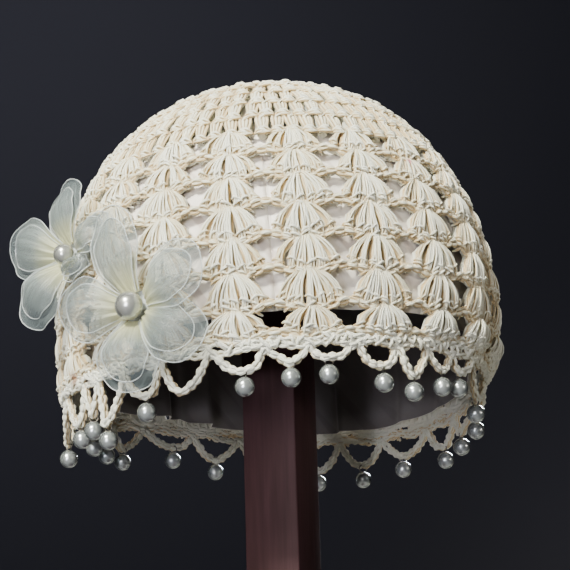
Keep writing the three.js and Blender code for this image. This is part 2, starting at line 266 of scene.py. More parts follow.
def piece_from(name, mesh):
    """An object from a bmesh, smooth all over, which frees the bmesh."""
    data = bpy.data.meshes.new(name)
    mesh.to_mesh(data)
    mesh.free()
    data.shade_smooth()
    piece = bpy.data.objects.new(name, data)
    bpy.context.scene.collection.objects.link(piece)
    return piece


def yarn_piece(name, strands, roundness, raised, *nodes):
    """Fuses strands into one mesh of tubes, with their height kept for the colour, less at their sides, so
    that hollows and sides take painted shade.
    """
    curve = bpy.data.curves.new(name, "CURVE")
    curve.dimensions = "3D"
    curve.bevel_depth = MM
    curve.bevel_resolution = roundness
    curve.use_fill_caps = True
    for points, thickness in strands:
        spline = curve.splines.new("POLY")
        spline.points.add(len(points) - 1)
        spline.points.foreach_set("co", np.column_stack([points, np.ones(len(points))]).ravel())
        spline.points.foreach_set("radius", thickness)
    tubes = bpy.data.objects.new(name, curve)
    bpy.context.scene.collection.objects.link(tubes)
    data = bpy.data.meshes.new_from_object(tubes.evaluated_get(bpy.context.evaluated_depsgraph_get()))
    bpy.data.objects.remove(tubes)
    bpy.data.curves.remove(curve)
    data.name = name
    data.shade_smooth()
    corners, normals = (np.empty(len(data.vertices) * 3) for _ in range(2))
    data.vertices.foreach_get("co", corners)
    data.vertex_normals.foreach_get("vector", normals)
    corners, normals = corners.reshape(-1, 3), normals.reshape(-1, 3)
    level = depth_on_hat(corners)
    facing = depth_on_hat(corners + normals * MM) - level
    depth = data.attributes.new("depth", "FLOAT", "POINT")
    # Painted shade: low points and the sides of each strand get a darker, warmer tan from the cotton's colour
    # ramp; raised lifts a whole piece towards the lighter end
    depth.data.foreach_set("value", level + raised - PAINTED_SIDE_SHADE * (1 - facing))
    piece = bpy.data.objects.new(name, data)
    bpy.context.scene.collection.objects.link(piece)
    return finish_piece(piece, [COTTON], "cotton", *nodes)


# One double crochet of the crown: rows of across, up, offset and thickness for each of its strands
DOUBLE_CROCHET = [
    [(-0.06, -0.05, -1.0, 1.9), (0.0, 0.5, -1.2, 2.7), (0.06, 1.05, -1.0, 1.9)],
    [(-0.14, -0.02, 0.3, 0.6), (-0.25, 0.2, 1.3, 0.8), (-0.36, 0.75, 1.4, 0.85), (-0.24, 1.05, 0.4, 0.6)],
    [(-0.03, -0.02, 0.5, 0.6), (-0.08, 0.25, 1.9, 0.85), (-0.1, 0.75, 1.8, 0.85), (-0.02, 1.05, 0.5, 0.6)],
    [(0.06, -0.02, 0.5, 0.6), (0.1, 0.3, 1.8, 0.85), (0.14, 0.7, 1.8, 0.85), (0.06, 1.05, 0.5, 0.6)],
    [(0.18, -0.02, 0.3, 0.6), (0.24, 0.2, 1.3, 0.8), (0.38, 0.7, 1.3, 0.85), (0.3, 1.02, 0.4, 0.6)],
    [(-0.3, 0.48, 0.2, 0.5), (-0.12, 0.66, 2.3, 0.66), (0.16, 0.82, 2.3, 0.66), (0.34, 1.0, 0.3, 0.5)],
]
# The loop along its head, which the next round is worked into
STITCH_HEAD = [
    [(-0.56, -0.02, 0.4, 0.6), (-0.2, 0.09, 2.5, 0.95), (0.2, 0.09, 2.6, 0.95), (0.56, -0.04, 0.4, 0.6)],
    [(-0.52, 0.02, 0.4, 0.6), (-0.16, -0.1, 2.2, 0.9), (0.24, -0.1, 2.2, 0.9), (0.56, 0.02, 0.4, 0.6)],
    [(-0.4, 0.1, 0.8, 0.6), (-0.05, -0.04, 3.1, 0.8), (0.35, -0.08, 0.9, 0.6)],
]


def crown_rounds():
    """The radii where each round of the crown starts, from the first shells up to the pole."""
    radii = [float(dome_radius(ROUND_EDGES[0]))]
    while radii[-1] > CROWN_ROUND:
        radii.append(radii[-1] - CROWN_ROUND * float(dome_normal(dome_height(radii[-1] - 2))[1]))
    return radii[:-1] + [POLE_RADIUS]


def crown_strands(radii):
    strands = []
    for number, (outer, inner) in enumerate(zip(radii, radii[1:])):
        count = max(6, round(2 * math.pi * (outer * 0.7 + inner * 0.3) / CROWN_STITCH))
        pitch = 360 / count
        for j in range(count):
            middle = (j + 0.37 * number + chance.uniform(-0.1, 0.1)) * pitch
            leaning = chance.uniform(-0.18, 0.18)
            raised = chance.uniform(-0.3, 0.4)
            plump = chance.uniform(0.88, 1.12)
            shifted = chance.uniform(-0.05, 0.05)
            for strand in DOUBLE_CROCHET + STITCH_HEAD:
                controls = []
                for across, up, offset, thickness in strand:
                    radius = np.clip(outer + (inner - outer) * (up + shifted), POLE_RADIUS / 2, None)
                    place = middle + pitch * (across + leaning * up)
                    slim = min(1.0, 0.35 + radius / outer)
                    controls.append((place, dome_height(radius), offset + raised, thickness * slim * plump))
                lay(strands, controls, 5)
    return strands


# The strands of one stitch in a shell, along it from 0 at the fan's apex to 1 at its foot
FAN_STRANDS_BESIDE = (-0.041, 0.0, 0.041)
FAN_STRAND = [
    # along, thickness
    (0, 0.85), (0.25, 0.95), (0.5, 1.05), (0.8, 1.1), (1.05, 0.8),
]
FAN_CORE = [
    # along, beside, proud, thickness
    (0, 0, -1.2, 1.2), (0.5, 0, -2.4, 2.1), (0.95, 0, -1.0, 1.6),
]
FOOT_LOOPS = (0.72, 0.86, 0.98)
FOOT_LOOP = [
    # further along, beside, proud, thickness
    (-0.02, -0.09, -1.5, 0.5), (-0.04, -0.035, 0, 0.62), (0.03, 0.035, 0, 0.62), (0.07, 0.09, -1.5, 0.5),
]


def chain_wave(across):
    """How far down its round the chain runs: over the gaps and under the shells."""
    away = min(abs((across + 0.5) % 1 - 0.5) / SHELL_FOOT, 1.3)
    return 1.0 - 0.19 * min(away, 1.0) ** 2.2 - 0.1 * max(away - 1.0, 0)


def fan_stitch(strands, azimuth, top, tall, share, bulge):
    """One double crochet of a shell, from the fan's apex to the chain at its foot."""
    pitch = 360 / SHELL_COLUMNS
    foot = SHELL_FOOT * share + chance.uniform(-0.02, 0.02)
    leaning = chance.uniform(-0.04, 0.04)
    reach = chain_wave(foot) + chance.uniform(0.0, 0.09)

    def along(t, beside, proud, thickness):
        across = 0.05 * share * (1 - t) + foot * math.sin(math.radians(90 * min(t, 1))) ** 0.85
        across += leaning * math.sin(math.pi * t) + beside * (0.35 + 0.65 * t)
        swollen = max(math.sin(math.pi * (0.14 + 0.78 * t)), 0.0) ** 0.8
        lift = bulge * swollen * (1 - 0.3 * share * share) + proud
        return azimuth + pitch * across, top + tall * ((reach + 0.18) * t - 0.18), lift, thickness

    for beside in FAN_STRANDS_BESIDE:
        swing = chance.uniform(0, 6.3)
        proud = chance.uniform(-0.6, 0.5)
        girth = YARN * chance.uniform(0.8, 1.15)
        finish = chance.uniform(0.84, 1.05)
        controls = []
        for t, thick in FAN_STRAND:
            stray = 0.016 * math.sin(5 * t + swing)
            controls.append(along(t * finish, beside + stray, proud * math.sin(3 * t), thick * girth))
        lay(strands, controls, 6)
    lay(strands, [along(*row) for row in FAN_CORE], 2)
    for start in FOOT_LOOPS:
        side = chance.choice((-1, 1))
        start += chance.uniform(-0.06, 0.06)
        high = chance.uniform(0.1, 0.9)
        lay(strands, [
            along(start + further, beside * side, high + proud, thickness)
            for further, beside, proud, thickness in FOOT_LOOP
        ], 4)


def shell_strands(strands, azimuth, top, bottom, puff):
    """One shell: stitches that spring from one point and part towards their feet."""
    azimuth += chance.uniform(-0.3, 0.3)
    for k in range(SHELL_STITCHES):
        share = -1 + 2 * k / (SHELL_STITCHES - 1)
        fan_stitch(strands, azimuth, top, bottom - top, share, SHELL_BULGE + puff + chance.uniform(-0.6, 0.5))


def chain_round(strands, top, bottom):
    """The chain all round that a row of shells ends in, arched over each gap."""
    pitch = 360 / SHELL_COLUMNS
    rows = []
    for across in np.arange(0, SHELL_COLUMNS + 0.01, 0.125):
        down = chain_wave(across) + chance.uniform(-0.012, 0.012)
        nearness = math.cos(2 * math.pi * across) * 0.5 + 0.5
        rows.append((FIRST_SHELL_AZIMUTH + pitch * across, top + (bottom - top) * down, 1.0 - 0.9 * nearness))
    path_line, outward = hat_line(rows, 2 * len(rows))
    crochet_chain(strands, path_line, outward, **CHAINS["lace"])


def lace_round(number):
    strands = []
    top, bottom = ROUND_EDGES[number], ROUND_EDGES[number + 1]
    for column in range(SHELL_COLUMNS):
        azimuth = FIRST_SHELL_AZIMUTH + 360 * column / SHELL_COLUMNS
        puff = PUFFS_OUT["by"] * swell(azimuth, PUFFS_OUT["azimuth"]) ** 2 * (top < PUFFS_OUT["below"])
        shell_strands(strands, azimuth, top, bottom, puff)
    chain_round(strands, top, bottom)
    return strands


BAND_ROWS = [
    # height, offset
    (7.4, 0.9), (4.9, 0.5),
]
BAND_LEGS = 260
BAND_LEG = [
    # share of its lean, height, proud, thickness
    (-1, 8.3, -1.6, 0.55), (-0.3, 6.9, 0, 0.7), (0.4, 5.3, 0, 0.7), (1, 4.0, -1.6, 0.55),
]


def edge_band(strands):
    """Two rows of chain along the rim, and the legs of single crochet that cross between them."""
    for height, offset in BAND_ROWS:
        ring = [
            (azimuth, height + chance.uniform(-1.1, 1.1), offset + chance.uniform(-0.6, 0.7))
            for azimuth in np.linspace(0, 356, 90)
        ]
        ring.append((360, *ring[0][1:]))
        path_line, outward = hat_line(ring, 360)
        crochet_chain(strands, path_line, outward, **CHAINS["band"])
    for j in range(BAND_LEGS):
        azimuth = 360 * (j + chance.uniform(-0.4, 0.4)) / BAND_LEGS
        lean = chance.uniform(0.3, 1.9) * chance.choice((-1, 1))
        rise = chance.uniform(-1.0, 1.4)
        high = chance.uniform(1.4, 2.6)
        lay(strands, [
            (azimuth + share * lean, height + rise, high + proud, thickness)
            for share, height, proud, thickness in BAND_LEG
        ], 4)


def loop_rows():
    """The picot chain all round, as rows of azimuth and height that start at the first dip."""
    rows = []
    for i, (azimuth, dip) in enumerate(LOOPS):
        following, following_dip = LOOPS[(i + 1) % len(LOOPS)]
        across = (following - azimuth) % 360
        rows.append((azimuth, dip))
        for share, risen, start in (
            (0.24, 0.22, dip), (0.42, 0.72, dip), (0.5, 1, dip),
            (0.58, 0.72, following_dip), (0.76, 0.22, following_dip),
        ):
            rows.append((azimuth + across * share, start + (LOOP_ROOT - start) * risen))
    rows.append((rows[0][0] + 360, rows[0][1]))
    return rows


def picot_strands():
    strands = []
    edge_band(strands)
    rows = [
        (azimuth + chance.uniform(-0.5, 0.5), height + chance.uniform(-0.7, 0.5), chance.uniform(-0.6, 0.8))
        for azimuth, height in loop_rows()
    ]
    path_line, outward = hat_line(rows, 24 * len(LOOPS))
    crochet_chain(strands, path_line, outward, **CHAINS["picot"])
    return strands


# Beads
def ball(mesh, radius, centre, segments=24, rings=16):
    made = bmesh.ops.create_uvsphere(mesh, u_segments=segments, v_segments=rings, radius=radius * MM)
    bmesh.ops.translate(mesh, verts=made["verts"], vec=centre)
    return made["verts"]


def wire_ring(mesh, middle, radius, wire, turn):
    """A ring of wire that stands upright, turned about the vertical."""
    section = bmesh.ops.create_circle(mesh, segments=8, radius=wire * MM)["verts"]
    bmesh.ops.translate(mesh, verts=section, vec=(radius * MM, 0, 0))
    edges = list({edge for vertex in section for edge in vertex.link_edges})
    bmesh.ops.spin(
        mesh, geom=section + edges, cent=(0, 0, 0), axis=(0, 1, 0),
        angle=2 * math.pi, steps=24, use_merge=True,
    )
    bmesh.ops.remove_doubles(mesh, verts=mesh.verts, dist=1e-6)
    bmesh.ops.recalc_face_normals(mesh, faces=mesh.faces)
    about_z = Matrix.Rotation(math.radians(turn), 3, "Z")
    bmesh.ops.rotate(mesh, verts=mesh.verts, cent=(0, 0, 0), matrix=about_z)
    bmesh.ops.translate(mesh, verts=mesh.verts, vec=middle)


def hanging_bead(number, azimuth, dip):
    """A pearl on its jump ring, hooked through the bottom of its loop."""
    hook = Vector(on_hat(azimuth, dip - LOOP_CORD - CLEARANCE, 0))
    mesh = bmesh.new()
    middle = hook + Vector((0, 0, JUMP_RING["above"] * MM))
    turn = azimuth + JUMP_RING["turned"] * math.sin(7.0 * number)
    wire_ring(mesh, middle, JUMP_RING["radius"], JUMP_RING["wire"], turn)
    for face in mesh.faces:
        face.material_index = 1
    ball(mesh, BEAD, hook + Vector((0, 0, -(BEAD_DROP + BEAD) * MM)))
    finish_piece(piece_from(f"pearl_{number:02d}", mesh), [PEARL, WIRE], "pearl", f"bead_{number:02d}")


# The lining
LINING = {
    "offset": -2.4, "front_edge": 20.0, "back_edge": 9.0, "thickness": 0.35, "cut": (0.62, 0.15),
    "pleat": 3.2, "pleat_every": 40.0, "pleat_width": 8.0, "pleats_from": 105.0,
}

# The deep folds of the lining, which fall off over a few degrees on one side and over more on the other
STEEP_SIDE = 1.4
LONG_SIDE = 12
FOLDS = [
    # azimuth, inwards, steep towards
    (163.0, 8.0, 1), (173.5, 6.0, -1), (205.0, 8.0, -1), (216.5, 5.0, 1), (220.5, 6.0, -1),
]


def fold_reach(azimuth):
    """How far the deep folds stand in from the dome."""
    reach = np.zeros_like(azimuth)
    for crest, inwards, steep in FOLDS:
        away = (azimuth - crest) * steep
        share = np.where(away > 0, 1 - away / STEEP_SIDE, (1 + away / LONG_SIDE) * (away > -LONG_SIDE))
        reach = np.maximum(reach, inwards * np.clip(share, 0, 1) ** 1.3)
    return reach


def hung_lining():
    """A dome of satin with sharp pleats that open towards its free lower edge."""
    mesh = bmesh.new()
    bmesh.ops.create_grid(mesh, x_segments=288, y_segments=34, size=0.5)
    azimuth, down = np.array([(360 * (v.co.x + 0.5), 0.5 - v.co.y) for v in mesh.verts]).T
    frontness = (1 + np.cos(np.radians(azimuth))) / 2
    edge = LINING["back_edge"] + (LINING["front_edge"] - LINING["back_edge"]) * frontness
    height = edge + (CROWN_TOP - edge) * np.cos(np.radians(90 * down)) ** 0.9
    height = np.where(down < 1e-6, CROWN_TOP, height)
    from_pleat = np.abs(azimuth % LINING["pleat_every"] - LINING["pleat_every"] / 2)
    pleat = np.maximum(0, 1 - from_pleat / LINING["pleat_width"]) ** 1.3
    between = 0.4 * np.maximum(0, 1 - np.abs((azimuth + 7 * np.sin(azimuth / 23) + 10) % 20 - 10) / 4)
    fullness = 1 - smooth(height, 9, LINING["pleats_from"])
    offset = LINING["offset"] - (LINING["pleat"] * (pleat + between) + fold_reach(azimuth)) * fullness
    places = on_hat(azimuth, height, offset)
    for vertex, place in zip(mesh.verts, places):
        vertex.co = place
    bmesh.ops.remove_doubles(mesh, verts=mesh.verts, dist=1e-5)
    bmesh.ops.recalc_face_normals(mesh, faces=mesh.faces)
    piece = piece_from("lining_of_satin", mesh)
    finish_piece(piece, [SATIN, SHADED_SATIN_WRONG_SIDE], "satin", "satin_lining")
    thick = piece.modifiers.new("thickness", "SOLIDIFY")
    thick.thickness = LINING["thickness"] * MM
    thick.offset = -1
    # The inner faces take the wrong side's colour, which is painted in shade
    thick.material_offset = 1


# The flowers. Each row of petals gives the direction, the length and the half width of one.
PETAL = {"root": 5.6, "twist": -10.0, "doming": 5.0, "cup": 2.6, "cut_width": 2.4, "fills_cut": 0.8}
FLOWERS = [
    {
        "name": "front_flower", "azimuth": -32.3, "height": 27, "from": 3.8, "turn": 0, "bead": 5.8,
        "petals": [(106, 40, 14), (24, 32, 15), (-34, 33, 13), (-99, 29, 14), (172, 33, 13.5)],
    },
    {
        "name": "side_flower", "azimuth": -57, "height": 58, "from": 4.2, "turn": 14, "bead": 4.6,
        "petals": [(98, 30, 13.5), (160, 38, 13.5), (226, 30, 12.5), (20, 22, 10), (-46, 9, 7)],
    },
]
# Each petal is two loops of ribbon, a full one behind and a smaller one that puffs up before it.
PETAL_LAYERS = [
    # length, width, puff
    (1.0, 1.0, -0.4), (0.86, 0.74, 3.2),
]
PETAL_RIM = 0.24
PETAL_LIFT = 1.2
PAD_THICKNESS = 3.0
PAD_RADII = (8.0, 6.8)


def flower_frame(flower):
    """The matrix of a flower's own frame in metres: X to its right and Z away from the hat."""
    out, up = dome_normal(np.float64(flower["height"]))
    turn = Matrix.Rotation(math.radians(flower["azimuth"] + flower["turn"]), 3, "Z")
    away = turn @ Vector((0, -out, up))
    right = Vector((0, 0, 1)).cross(away).normalized()
    axes = Matrix((right, away.cross(right), away)).transposed()
    frame_matrix = (SEAT.to_3x3() @ axes).to_4x4()
    frame_matrix.translation = Vector(on_hat(flower["azimuth"], flower["height"], flower["from"]))
    return frame_matrix


def petal_half_width(along):
    """The share of a petal's half width at a share of its length: a gathered root and a round tip."""
    belly = 0.3 + 0.7 * smooth(along, -0.12, 0.55)
    tip = np.sqrt(np.clip(1 - (np.maximum(along - 0.5, 0) / 0.5) ** 2.3, 0, 1))
    return belly * tip


def petal_points(along, side, shape, layer):
    """Points of a petal in its flower's frame, in millimetres."""
    _, length, half = shape
    long_share, wide_share, puff = layer
    share = petal_half_width(along) * wide_share
    width = side * half * share
    reach = along * long_share
    crease = (0.5 * np.sin(11 * side + 4 * along) + 0.3 * np.sin(23 * side)) * (1.05 - along) ** 1.6
    ruffle = 0.7 * np.sin(17 * along + 2 * side) * side ** 2 * along
    rise = PETAL["doming"] * np.sin(np.pi * np.minimum(reach, 0.9)) - PETAL["cup"] * (side * share) ** 2
    rise = rise + 0.65 + puff * np.sin(np.pi * along) ** 0.7 * (1 - 0.7 * side ** 2) + crease + ruffle
    twist = math.radians(PETAL["twist"])
    out = PETAL["root"] + length * reach
    lift = rise + width * math.sin(twist) + PAD_THICKNESS + PETAL_LIFT
    return np.stack([out, width * math.cos(twist), lift], -1)


def petal_rims(name, shape, place):
    """The rolled edges of a petal, one bright thread round each of its two loops."""
    curve = bpy.data.curves.new(name, "CURVE")
    curve.dimensions = "3D"
    curve.bevel_depth = PETAL_RIM * MM
    curve.bevel_resolution = 1
    curve.use_fill_caps = True
    along = np.sin(np.pi * np.linspace(0, 1, 25) / 2) ** 0.9
    for layer in PETAL_LAYERS:
        one = petal_points(along, np.ones(25), shape, layer)
        other = petal_points(along, -np.ones(25), shape, layer)
        points = np.vstack([one, other[::-1][1:]])
        spline = curve.splines.new("POLY")
        spline.points.add(len(points) - 1)
        for point, co in zip(spline.points, points):
            point.co = (*(place @ Vector(co * MM)), 1)
    rims = bpy.data.objects.new(name, curve)
    bpy.context.scene.collection.objects.link(rims)
    data = bpy.data.meshes.new_from_object(rims.evaluated_get(bpy.context.evaluated_depsgraph_get()))
    bpy.data.objects.remove(rims)
    data.name = name
    data.shade_smooth()
    piece = bpy.data.objects.new(name, data)
    bpy.context.scene.collection.objects.link(piece)
    return finish_piece(piece, [ORGANZA_RIM], "organza")


def organza_petal(flower, number, shape, place):
    """Two layers of organza that meet at the gathered root, with their rolled rims."""
    mesh = bmesh.new()
    hearts = mesh.verts.layers.float.new("heart")
    streaks = mesh.verts.layers.float.new("across")
    for layer in PETAL_LAYERS:
        made = bmesh.ops.create_grid(mesh, x_segments=26, y_segments=20, size=0.5)["verts"]
        along, side = np.array([(v.co.x + 0.5, 2 * v.co.y) for v in made]).T
        for vertex, point, a, s in zip(made, petal_points(along, side, shape, layer), along, side):
            vertex.co = point * MM
            vertex[hearts] = 1 - a
            vertex[streaks] = s
    place = place @ Matrix.Rotation(math.radians(shape[0]), 4, "Z")
    bmesh.ops.transform(mesh, matrix=place, verts=mesh.verts)
    petal = piece_from(f"{flower['name']}_organza_{number}", mesh)
    finish_piece(petal, [ORGANZA], "organza", f"{flower['name']}_petal_{number}")
    rims = petal_rims(f"{petal.name}_rims", shape, place)


def organza_flower(flower):
    """A flower: its sewn backing, its petals and its pearl."""
    place = flower_frame(flower)
    mesh = bmesh.new()
    lower, upper = PAD_RADII
    bmesh.ops.create_cone(
        mesh, cap_ends=True, segments=32, radius1=lower * MM, radius2=upper * MM, depth=PAD_THICKNESS * MM
    )
    bmesh.ops.translate(mesh, verts=mesh.verts, vec=(0, 0, PAD_THICKNESS / 2 * MM))
    bmesh.ops.transform(mesh, matrix=place, verts=mesh.verts)
    backing = piece_from(flower["name"] + "_backing", mesh)
    finish_piece(backing, [ORGANZA_RIM], "organza", flower["name"] + "_pad")
    for number, shape in enumerate(flower["petals"], 1):
        organza_petal(flower, number, shape, place)
    mesh = bmesh.new()
    ball(mesh, flower["bead"], (0, 0, 0), 32, 20)
    bmesh.ops.translate(mesh, verts=mesh.verts, vec=(0, 0, (PAD_THICKNESS + CLEARANCE + flower["bead"]) * MM))
    bmesh.ops.transform(mesh, matrix=place, verts=mesh.verts)
    pearl = piece_from(flower["name"] + "_pearl", mesh)
    finish_piece(pearl, [WHITE_PEARL], "pearl", flower["name"] + "_bead")


# The stand
STAND = {
    "turn": -22.7, "post_side": 25, "base_side": 150, "base_thickness": 18, "clearance": 0.3,
    "head_radius": 90, "head_spread": 41.8, "head_thickness": 6,
}
HEAD_RIM = [
    # radius, height above the head's centre
    (59.9, 66.2), (60, 64), (60, 62.6), (59.2, 61.4), (0, 61.1),
]


def wooden_box(name, node, size, middle_height, bevel):
    mesh = bmesh.new()
    bmesh.ops.create_cube(mesh, size=MM)
    bmesh.ops.scale(mesh, vec=size, verts=mesh.verts)
    bmesh.ops.bevel(
        mesh, geom=mesh.edges[:], offset=bevel * MM, segments=3, profile=0.5, affect="EDGES", material=-1
    )
    about_z = Matrix.Rotation(math.radians(STAND["turn"]), 3, "Z")
    bmesh.ops.rotate(mesh, verts=mesh.verts, cent=(0, 0, 0), matrix=about_z)
    bmesh.ops.translate(mesh, verts=mesh.verts, vec=(0, 0, middle_height * MM))
    piece = piece_from(name, mesh)
    piece.data.set_sharp_from_angle(angle=math.radians(35))
    return finish_piece(piece, [MAHOGANY], "wood", node)


def stand_head():
    """A turned block: a low dome whose rim is rounded over."""
    mesh = bmesh.new()
    radius = STAND["head_radius"]
    angles = np.radians(np.linspace(0, STAND["head_spread"] - 0.6, 12))
    profile = [(radius * math.sin(angle), radius * math.cos(angle)) for angle in angles] + HEAD_RIM
    points = [mesh.verts.new((x * MM, 0, (RIM_HEIGHT + HEAD_CENTRE + z) * MM)) for x, z in profile]
    edges = [mesh.edges.new(pair) for pair in zip(points, points[1:])]
    bmesh.ops.spin(
        mesh, geom=points + edges, cent=(0, 0, 0), axis=(0, 0, 1),
        angle=2 * math.pi, steps=72, use_merge=True,
    )
    bmesh.ops.remove_doubles(mesh, verts=mesh.verts, dist=1e-6)
    bmesh.ops.recalc_face_normals(mesh, faces=mesh.faces)
    piece = piece_from("head_of_stand", mesh)
    piece.data.set_sharp_from_angle(angle=math.radians(50))
    finish_piece(piece, [MAHOGANY], "wood", "stand_head")


# Materials
def colour(hexcode):
    """An sRGB hex value as linear red, green, blue and alpha."""
    parts = [int(hexcode[i:i + 2], 16) / 255 for i in (0, 2, 4)]
    return [p / 12.92 if p <= 0.04045 else ((p + 0.055) / 1.055) ** 2.4 for p in parts] + [1.0]


def add(material, kind, settings=None, links=None):
    """Adds a node, gives its inputs, properties or colour stops their values, and links its inputs."""
    node = material.node_tree.nodes.new(kind)
    for key, value in (settings or {}).items():
        if key == "stops":
            while len(node.color_ramp.elements) < len(value):
                node.color_ramp.elements.new(1)
            for element, (position, shade) in zip(node.color_ramp.elements, value):
                element.position, element.color = position, shade
        elif isinstance(key, int) or key in node.inputs:
            node.inputs[key].default_value = value
        else:
            setattr(node, key, value)
    for key, socket in (links or {}).items():
        material.node_tree.links.new(socket, node.inputs[key])
    return node


def new_material(name):
    material = bpy.data.materials.new(name)
    material.use_nodes = True
    material.node_tree.nodes.clear()
    return material


def surface(material, shader):
    add(material, "ShaderNodeOutputMaterial", links={"Surface": shader.outputs[0]})
    return material


def crochet_cotton():
    """Loosely plied cotton yarn: matt, with warm shade between its strands and a twist along each."""
    m = new_material("crochet cotton yarn")
    # Painted shade: the ramp turns the depth attribute into colour, tan in the hollows and at the strands'
    # sides and near-white on their tops, with the lowest, hidden faces kept pale
    depth = add(m, "ShaderNodeAttribute", {"attribute_name": "depth"})
    level = add(m, "ShaderNodeMapRange", {"From Min": -3.0, "From Max": 4.0}, {"Value": depth.outputs["Fac"]})
    shade = add(m, "ShaderNodeValToRGB", {"stops": [
        (0.3, colour("D6D5C6")), (0.42, colour("C9B388")), (0.53, colour("C6AB7C")),
        (0.68, colour("DED6B9")), (0.82, colour("EDEEE1")),
    ]}, {"Fac": level.outputs["Result"]})
    place = add(m, "ShaderNodeTexCoord")
    patches = add(m, "ShaderNodeTexNoise", {"Scale": 45.0, "Detail": 2.0},
                  {"Vector": place.outputs["Object"]})
    fibres = add(m, "ShaderNodeTexNoise", {"Scale": 1600.0, "Detail": 3.0},
                 {"Vector": place.outputs["Object"]})
    aged = add(m, "ShaderNodeMapRange", {"From Min": 0.45, "From Max": 0.75, "To Max": 0.3},
               {"Value": patches.outputs["Fac"]})
    tinted = add(m, "ShaderNodeMix", {"data_type": "RGBA", "blend_type": "MULTIPLY", 7: colour("EFE6CC")},
                 {"Factor": aged.outputs["Result"], 6: shade.outputs["Color"]})
    for azimuth, height, offset, reach, hexcode in MARKS:
        spot = Vector(on_hat(azimuth, height, offset))
        away = add(m, "ShaderNodeVectorMath", {"operation": "DISTANCE", 1: spot},
                   {0: place.outputs["Object"]})
        near = add(m, "ShaderNodeMapRange", {
            "From Min": 0.3 * reach * MM, "From Max": reach * MM, "To Min": 0.85, "To Max": 0.0,
        }, {"Value": away.outputs["Value"]})
        tinted = add(m, "ShaderNodeMix", {"data_type": "RGBA", 7: colour(hexcode)},
                     {"Factor": near.outputs["Result"], 6: tinted.outputs[2]})
    turn = add(m, "ShaderNodeSeparateXYZ", links={"Vector": place.outputs["UV"]})
    plies = add(m, "ShaderNodeMath", {"operation": "MULTIPLY_ADD", 1: 3.0},
                {0: turn.outputs["Y"], 2: turn.outputs["X"]})
    phase = add(m, "ShaderNodeMath", {"operation": "MULTIPLY", 1: 2 * math.pi * 2}, {0: plies.outputs[0]})
    twist = add(m, "ShaderNodeMath", {"operation": "SINE"}, {0: phase.outputs[0]})
    twist_bump = add(m, "ShaderNodeBump", {"Strength": 0.4, "Distance": 0.22 * MM},
                     {"Height": twist.outputs[0]})
    fuzz = add(m, "ShaderNodeBump", {"Strength": 0.5, "Distance": 0.12 * MM},
               {"Height": fibres.outputs["Fac"], "Normal": twist_bump.outputs["Normal"]})
    shader = add(m, "ShaderNodeBsdfPrincipled", {
        "Roughness": 0.88, "Sheen Weight": 0.25, "Sheen Roughness": 0.6,
    }, {"Base Color": tinted.outputs[2], "Normal": fuzz.outputs["Normal"]})
    return surface(m, shader)


def polyester_satin(name, dark, light, crease, gloss):
    """Warp-faced satin: a soft streaky gloss, with fine slanting creases and painted shade along them."""
    m = new_material(name)
    place = add(m, "ShaderNodeTexCoord")
    clouds = add(m, "ShaderNodeTexNoise", {"Scale": 30.0, "Detail": 2.0}, {"Vector": place.outputs["Object"]})
    shade = add(m, "ShaderNodeValToRGB", {"stops": [(0.3, colour(dark)), (0.7, colour(light))]},
                {"Fac": clouds.outputs["Fac"]})
    slanted = add(m, "ShaderNodeMapping", {
        "vector_type": "TEXTURE", "Rotation": (0, math.radians(-38), 0), "Scale": (1, 3, 12),
    }, {"Vector": place.outputs["Object"]})
    folds = add(m, "ShaderNodeTexNoise", {"Scale": 170.0, "Detail": 1.0},
                {"Vector": slanted.outputs["Vector"]})
    # Painted shade: the crease colour is mixed in along the low lines of the slanting folds
    line = add(m, "ShaderNodeMapRange", {"From Min": 0.36, "From Max": 0.44, "To Min": 0.5, "To Max": 0.0},
               {"Value": folds.outputs["Fac"]})
    crease_shaded = add(m, "ShaderNodeMix", {"data_type": "RGBA", 7: colour(crease)},
                  {"Factor": line.outputs["Result"], 6: shade.outputs["Color"]})
    bump = add(m, "ShaderNodeBump", {"Strength": 0.5, "Distance": 1.0 * MM}, {"Height": folds.outputs["Fac"]})
    shader = add(m, "ShaderNodeBsdfPrincipled", {"Roughness": gloss, "Sheen Weight": 0.3, "Anisotropic": 0.4},
                 {"Base Color": crease_shaded.outputs[2], "Normal": bump.outputs["Normal"]})
    return surface(m, shader)


